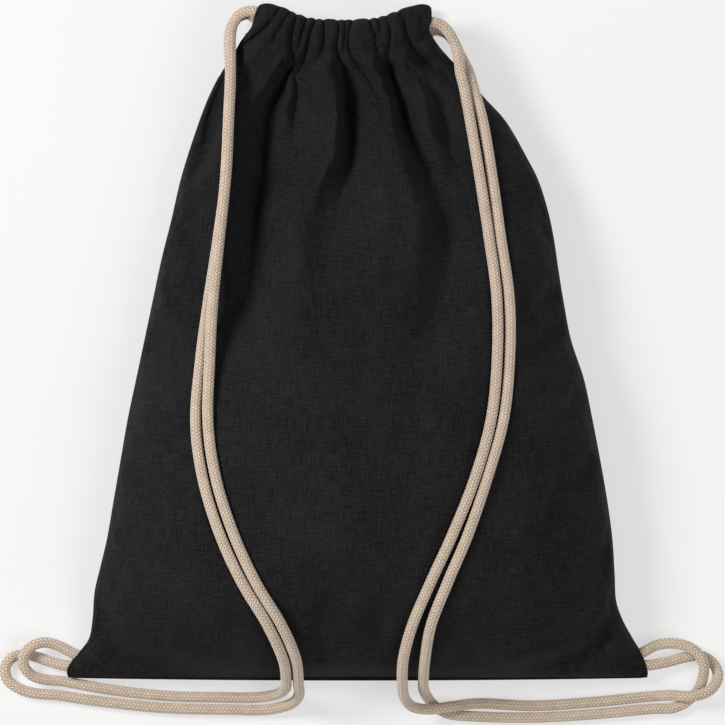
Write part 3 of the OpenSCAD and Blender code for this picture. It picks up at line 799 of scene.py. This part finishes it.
def hem_tunnel(outer, middle, turn):
    """A hem from its outer face's rows: over the top edge and back down inside to the stitching."""
    rows = outer.shape[0]
    t = np.linspace(0, 1, rows)[:, None]
    inner = outer.copy()
    mirrored = middle - np.clip(outer[..., 2] - middle, -TUNNEL_HALF, TUNNEL_HALF)
    near = outer[..., 2] - 1.3 * turn
    inner[..., 2] = near + (mirrored - near) * ease(share(t, 0.0, 0.12))
    inner[..., 1] -= 0.9 * ease(t)
    cords = FRONT_TUNNEL_CORDS if turn > 0 else BACK_TUNNEL_CORDS
    inner[1:-3] = kept_outside(inner[1:-3], cords, -turn)
    return np.concatenate([outer, inner[-2::-1]])


def flat_cut(u, v, folded=False):
    """Where each point lay on the cut cloth, in metres; folded adds the hem's inner face."""
    flat = np.stack([(u + 1) / 2 * CUT_WIDTH, v * CUT_LENGTH], axis=-1)
    if folded:
        more = flat[-2::-1].copy()
        more[..., 1] = 2 * flat[-1:, :, 1] - more[..., 1]
        flat = np.concatenate([flat, more])
    return flat


# --- cords ----------------------------------------------------------------------------------------
def whole_cord(front_tail, front, in_hem, back, back_tail, sewn_in):
    """One cord's centreline from its front end in the corner, through the hems, to its back end."""
    points = [sewn_in[0], *reversed(front_tail[1:]), *reversed(front), *in_hem, *back, *back_tail[1:],
              sewn_in[1]]
    return smooth_path(points, RING_STEP)


def nearest_ring(path, place):
    return int(np.argmin(np.linalg.norm(path - np.array(place), axis=1)))


def lay_cord(side, front_tail, front, in_hem, back, back_tail, sewn_in, low_cut):
    """One cord as four tube pieces: the strap's two lower ends, and two that come from the hem."""
    path = whole_cord(front_tail, front, in_hem, back, back_tail, sewn_in)
    normals, sides = carried_normals(path)
    run = np.arange(len(path)) * RING_STEP
    middle = nearest_ring(path, hem_point(LEFT_R, 0, FRONT_HEM_Z))
    first = nearest_ring(path[:middle], low_cut[0])
    last = middle + nearest_ring(path[middle:], low_cut[1])
    for name, a, b, from_hem, nodes in (
            ("front_lower", 0, first, False, ["front_tail"]),
            ("front_upper", first, middle, True, ["front_strand", "cord_in_hem"]),
            ("back_upper", middle, last, True, ["back_strand"]),
            ("back_lower", last, len(path) - 1, False, ["back_tail"])):
        part = slice(a, b + 1)
        tube = braided_tube(f"{side}_cord_{name}", path[part], normals[part], sides[part], run[part])
        if from_hem:
            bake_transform(tube)
        else:
            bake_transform(tube)
        line = path[part]
        [tuple(p) for p in line[::5]] + [tuple(line[-1])]
        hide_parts(*(f"{side}_{node}" for node in nodes))


lay_cord(
    "left", LEFT_FRONT_TAIL, LEFT_FRONT, LEFT_IN_HEM, LEFT_BACK, LEFT_BACK_TAIL, LEFT_SEWN_IN,
    ((-0.049, -0.180, 0.0755), (-0.058, -0.180, 0.0755)))
lay_cord(
    "right", RIGHT_FRONT_TAIL, RIGHT_FRONT, RIGHT_IN_HEM, RIGHT_BACK, RIGHT_BACK_TAIL,
    RIGHT_SEWN_IN,
    ((0.036, -0.180, 0.0765), (0.048, -0.180, 0.076)))


# --- cloth pieces ---------------------------------------------------------------------------------
PRESS_STEP, PRESS_REACH, PRESS_BANK, PRESS_GAP, ON_FLOOR_Z = 0.0024, 9.0, 0.75, 0.35, 8


def pressed_under_cords(points):
    """The cloth pushed down where a strand lies on it, with a soft bank on each side."""
    strands = LEFT_FRONT, LEFT_BACK, RIGHT_FRONT, RIGHT_BACK
    lines = np.vstack([smooth_path(strand, PRESS_STEP) for strand in strands]) / MM
    lines = lines[lines[:, 2] > ON_FLOOR_Z]
    tree = KDTree(len(lines))
    for k, p in enumerate(lines):
        tree.insert((p[0], p[1], 0), k)
    tree.balance()
    out = points.copy()
    flat = out.reshape(-1, 3)
    half = CORD / 2 / MM
    for k, p in enumerate(flat):
        limit = math.inf
        for _, n, d in tree.find_range((p[0], p[1], 0), PRESS_REACH):
            drop = math.sqrt(half * half - d * d) if d < half * 0.8 else half * 0.6
            bank = PRESS_BANK * max(0.0, d - half * 0.8)
            limit = min(limit, lines[n, 2] - drop - PRESS_GAP + bank)
        if p[2] > limit:
            flat[k, 2] = limit
    return out


QUALITY, CLOTH_MASS, STRETCH, SHEAR, BENDING = 6, 0.25, 18, 8, 3.0
FULLNESS, PRESSURE, SETTLING_FRAMES, SETTLE_CAP = 0.035, 1.2, 20, 6.0
NEAR_SEAM = 0.6


def let_settle(points):
    """The cloth let go between its seams, cut a little full, so that it sags and puckers by itself."""
    rows = np.append(np.arange(0, points.shape[0] - 1, 2), points.shape[0] - 1)
    columns = np.arange(0, points.shape[1], 2)
    start = points[np.ix_(rows, columns)]
    made = mesh_object("settling_cloth", start.reshape(-1, 3) * MM,
                       grid_quads(len(rows), len(columns)), CANVAS)
    edge = np.zeros(start.shape[:2])
    edge[:, [0, -1]] = 1
    edge[[0, -2, -1]] = 1
    edge[:, [1, -2]] = np.maximum(edge[:, [1, -2]], NEAR_SEAM)
    edge[1] = np.maximum(edge[1], NEAR_SEAM)
    pins = made.vertex_groups.new(name="sewn")
    for k, weight in enumerate(edge.ravel()):
        if weight:
            pins.add([k], float(weight), "REPLACE")
    cloth = made.modifiers.new("cloth", "CLOTH")
    canvas = cloth.settings
    canvas.quality = QUALITY
    canvas.mass = CLOTH_MASS
    canvas.tension_stiffness = canvas.compression_stiffness = STRETCH
    canvas.shear_stiffness = SHEAR
    canvas.bending_stiffness = BENDING
    canvas.vertex_group_mass = "sewn"
    canvas.shrink_min = -FULLNESS
    canvas.use_pressure = True
    canvas.uniform_pressure_force = PRESSURE
    canvas.effector_weights.gravity = 0
    cloth.point_cache.frame_start, cloth.point_cache.frame_end = 1, SETTLING_FRAMES
    for frame_number in range(1, SETTLING_FRAMES + 1):
        bpy.context.scene.frame_set(frame_number)
    settled = made.evaluated_get(bpy.context.evaluated_depsgraph_get()).data
    ends = np.empty(len(settled.vertices) * 3)
    settled.vertices.foreach_get("co", ends)
    moved = ends.reshape(start.shape) / MM - start
    length = np.linalg.norm(moved, axis=2, keepdims=True)
    moved *= SETTLE_CAP * np.tanh(length / SETTLE_CAP) / np.maximum(length, 1e-6)
    bpy.data.objects.remove(made)
    bpy.context.scene.frame_set(1)
    moved = spread_over(spread_over(moved, rows, points.shape[0], 0), columns, points.shape[1], 1)
    return points + moved


def spread_over(values, kept, count, axis):
    """Values at the kept rows or columns, on every one between, with the kinks taken off."""
    values = np.moveaxis(values, axis, 0)
    place = np.interp(np.arange(count), kept, np.arange(len(kept)))
    low = np.minimum(place.astype(int), len(kept) - 2)
    part = (place - low)[:, None, None]
    out = values[low] * (1 - part) + values[low + 1] * part
    for _ in range(2):
        out[1:-1] = (out[:-2] + 2 * out[1:-1] + out[2:]) / 4
    return np.moveaxis(out, 0, axis)


CORD_CLEAR = 0.9


def kept_outside(points, cords, side):
    """The cloth kept above (side 1) or below (side -1) the cords that run inside it."""
    lines = np.vstack([smooth_path(cord, 0.001) for cord in cords]) / MM
    half = CORD / 2 / MM + CORD_CLEAR
    flat = points.reshape(-1, 3).copy()
    for start in range(0, len(flat), 512):
        some = flat[start:start + 512]
        apart = np.hypot(some[:, None, 0] - lines[None, :, 0], some[:, None, 1] - lines[None, :, 1])
        over = side * lines[None, :, 2] + np.sqrt(np.maximum(half ** 2 - apart ** 2, 0))
        over = np.where(apart < half, over, -1e9).max(axis=1)
        some[:, 2] = side * np.maximum(side * some[:, 2], over)
    return flat.reshape(points.shape)


front_u, front_v, front_points = front_cloth()
back_u, back_v, back_points = back_cloth()
front_points[:PANEL_ROWS] = let_settle(front_points[:PANEL_ROWS])
front_points[:PANEL_ROWS] = pressed_under_cords(front_points[:PANEL_ROWS])
front_points[PANEL_ROWS:-3] = kept_outside(front_points[PANEL_ROWS:-3], FRONT_TUNNEL_CORDS, 1)
back_points[PANEL_ROWS:-3] = kept_outside(back_points[PANEL_ROWS:-3], BACK_TUNNEL_CORDS, -1)
sewn_in_ends = [(tail[-1], end) for tail, end in zip(
    (LEFT_FRONT_TAIL, LEFT_BACK_TAIL, RIGHT_FRONT_TAIL, RIGHT_BACK_TAIL),
    (*LEFT_SEWN_IN, *RIGHT_SEWN_IN))]
front_points[:CORNER_ROWS] = kept_outside(front_points[:CORNER_ROWS], sewn_in_ends, 1)
back_points[:CORNER_ROWS] = kept_outside(back_points[:CORNER_ROWS], sewn_in_ends, -1)

for side, u, v, points, middle, turn in (("front", front_u, front_v, front_points, FRONT_MID, 1),
                                         ("back", back_u, back_v, back_points, BACK_MID, -1)):
    flip = turn < 0
    panel = cloth_sheet(f"{side}_panel_cloth", points[:PANEL_ROWS], flat_cut(u, v)[:PANEL_ROWS],
                        flip=flip)
    top = slice(PANEL_ROWS - 1, None)
    hem = cloth_sheet(f"{side}_hem_cloth", hem_tunnel(points[top], middle, turn),
                      flat_cut(u[top], v[top], folded=True), HEM_CLOTH, flip)
    for piece, node in ((panel, f"{side}_panel"), (hem, f"{side}_hem")):
        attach(piece, "root")
        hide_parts(node)


# --- seams, stitches and tacks ----------------------------------------------------------------------
STITCH, STITCH_GAP, STITCH_RINGS = 2.3, 0.7, 5
STITCH_THREAD, TACK_THREAD, THREAD_SIDES = 0.30, 0.34, 6
SEAM_TOP_Y = 176.0
TACK_LENGTH, TACK_HALF, TACK_THICK = 13.5, 4.75, 1.45
TACK_TURNS, POINTS_PER_TURN = 24, 24


def thread_rings(line, first, second, radius):
    """Rings of points round a thread's line, each on its own pair of directions."""
    turn = np.arange(THREAD_SIDES) * 2 * math.pi / THREAD_SIDES
    return line[..., None, :] + radius * (np.cos(turn)[:, None] * first[..., None, :]
                                          + np.sin(turn)[:, None] * second[..., None, :])


def stitched_line(name, row, outward):
    """Straight stitches along a row of the cloth, each a short thread that dips in at both ends."""
    run = steps_along(row)
    starts = np.arange(2.0, run[-1] - 4.0, STITCH + STITCH_GAP)
    t = np.linspace(0, 1, STITCH_RINGS)
    at = starts[:, None] + STITCH * t[None, :]
    line = np.stack([np.interp(at, run, row[:, i]) for i in range(3)], axis=-1)
    line[..., 2] += outward * (0.55 * np.sqrt(np.sin(math.pi * t)) - 0.15)
    ahead = unit(np.gradient(line, axis=1))
    up = unit(np.cross(ahead, [0, 1, 0]))
    rings = thread_rings(line, up, np.cross(ahead, up), STITCH_THREAD)
    one = [list(q) for q in grid_quads(STITCH_RINGS, THREAD_SIDES, around=True)]
    one += end_caps(STITCH_RINGS, THREAD_SIDES)
    count = STITCH_RINGS * THREAD_SIDES
    faces = [[k * count + c for c in face] for k in range(len(starts)) for face in one]
    return mesh_object(name, rings.reshape(-1, 3) * MM, faces, THREAD)


def seam_strip(name, edge, inward):
    """A sewn seam: a rounded, slightly puckered edge, and the allowance lying inside the bag."""
    run = steps_along(edge)
    around = np.radians(np.linspace(90, 270, 7))
    across = np.concatenate([0.7 + 0.95 * np.cos(around), [3.0, 6.0, 8.6, 8.6, 6.0, 3.0]])
    height = np.concatenate([0.95 * np.sin(around), [-0.7, -0.6, -0.6, 0.6, 0.6, 0.7]])
    pucker = 0.22 * np.sin(run * 2 * math.pi / 7.5) + 0.15 * np.sin(run * 2 * math.pi / 17 + 1)
    swell = 1 + 0.12 * np.sin(run * 2 * math.pi / 3.2)
    points = (edge[:, None] + across[None, :, None] * inward[:, None]
              + (height[None, :] * swell[:, None] + pucker[:, None])[..., None] * UP)
    rows, columns = points.shape[:2]
    faces = [list(q) for q in grid_quads(rows, columns, around=True)] + end_caps(rows, columns)
    flat = np.stack(np.broadcast_arrays(run[:, None] * MM, across[None, :] * MM), axis=-1)
    uv = np.vstack([flat.reshape(-1, 2)[face] for face in faces])
    return mesh_object(name, points.reshape(-1, 3) * MM, faces, SEAM_CANVAS, "cloth", uv)


def side_seam(name, line, side):
    """The seam down one side; side is -1 for the left and 1 for the right."""
    y = np.arange(BOTTOM_Y + 1.5, SEAM_TOP_Y, 1.2)
    edge = np.stack([edge_x(line, y), y, seam_height(y - BOTTOM_Y)], axis=1)
    ahead = unit(np.gradient(edge[:, :2], axis=0))
    inward = np.stack([-side * ahead[:, 1], side * ahead[:, 0], 0 * y], axis=1)
    return seam_strip(name, edge, inward)


def bottom_seam(name):
    u = np.linspace(-0.985, 0.985, 280)
    x, y = cloth_place(u, 0 * u)
    edge = np.stack([x, y, CORNER_Z + SEAM_ARCH * (1 - u * u)], axis=1)
    inward = np.tile(np.array([0.0, 1.0, 0.0]), (len(u), 1))
    return seam_strip(name, edge, inward)


def bar_tack(name, middle, lean):
    """Thread wound tightly over the seam's edge, over the cord's two ends."""
    t = np.linspace(0, 1, TACK_TURNS * POINTS_PER_TURN + 1)
    angle = t * TACK_TURNS * 2 * math.pi
    along = (t - 0.5) * TACK_LENGTH
    wave = np.sin(angle)
    across = TACK_THICK * np.cos(angle) * (1 - 0.25 * wave ** 2)
    up = TACK_HALF * np.sign(wave) * np.abs(wave) ** 0.5
    ahead = np.array([math.sin(lean), math.cos(lean), 0])
    out = np.array([math.cos(lean), -math.sin(lean), 0])
    line = (np.array(middle) + along[:, None] * ahead + across[:, None] * out + up[:, None] * UP)
    side = unit(np.cross(unit(np.gradient(line, axis=0)), ahead))
    rings = thread_rings(line, side, np.broadcast_to(ahead, line.shape), TACK_THREAD)
    faces = [list(q) for q in grid_quads(len(line), THREAD_SIDES, around=True)]
    faces += end_caps(len(line), THREAD_SIDES)
    return mesh_object(name, rings.reshape(-1, 3) * MM, faces, THREAD)


for piece, node, finish in (
        (stitched_line("front_hem_stitches", front_points[PANEL_ROWS], 1),
         "front_hem_stitching", "black_thread"),
        (stitched_line("back_hem_stitches", back_points[PANEL_ROWS], -1),
         "back_hem_stitching", "black_thread"),
        (side_seam("left_side_seam_cloth", LEFT_LINE, -1), "left_side_seam", "canvas_seam"),
        (side_seam("right_side_seam_cloth", RIGHT_LINE, 1), "right_side_seam", "canvas_seam"),
        (bottom_seam("bottom_seam_cloth"), "bottom_seam", "canvas_seam"),
        (bar_tack("left_corner_bar_tack", (-182.6, -206.0, 8.7), math.radians(33)),
         "left_corner_tack", "black_thread"),
        (bar_tack("right_corner_bar_tack", (183.8, -206.0, 8.7), math.radians(-24)),
         "right_corner_tack", "black_thread")):
    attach(piece, "root")
    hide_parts(node)


# --- studio ---------------------------------------------------------------------------------------
FLOOR_HALF = 15
WORLD_LIGHT = 0.25
LAMPS = ("key", (-1.8, 0.8, 1.8), 0.8, 60), ("fill", (1.5, -0.8, 2.3), 1.6, 30)


def studio():
    """A pale floor, an even white sky and two soft lamps."""
    a = FLOOR_HALF
    floor = mesh_object("studio_floor", [(-a, -a, 0), (a, -a, 0), (a, a, 0), (-a, a, 0)],
                        [(0, 1, 2, 3)], PAPER)
    world = bpy.data.worlds.new("studio")
    world.use_nodes = True
    world.node_tree.nodes["Background"].inputs["Color"].default_value = (1, 1, 1, 1)
    world.node_tree.nodes["Background"].inputs["Strength"].default_value = WORLD_LIGHT
    bpy.context.scene.world = world
    for name, place, size, power in LAMPS:
        lamp = bpy.data.lights.new(name, "AREA")
        lamp.size = size
        lamp.energy = power
        light = bpy.data.objects.new(name, lamp)
        light.location = place
        light.rotation_euler = (Vector(place) * -1).to_track_quat("-Z", "Y").to_euler()
        bpy.context.scene.collection.objects.link(light)
    bpy.context.scene.view_settings.view_transform = "Standard"


studio()
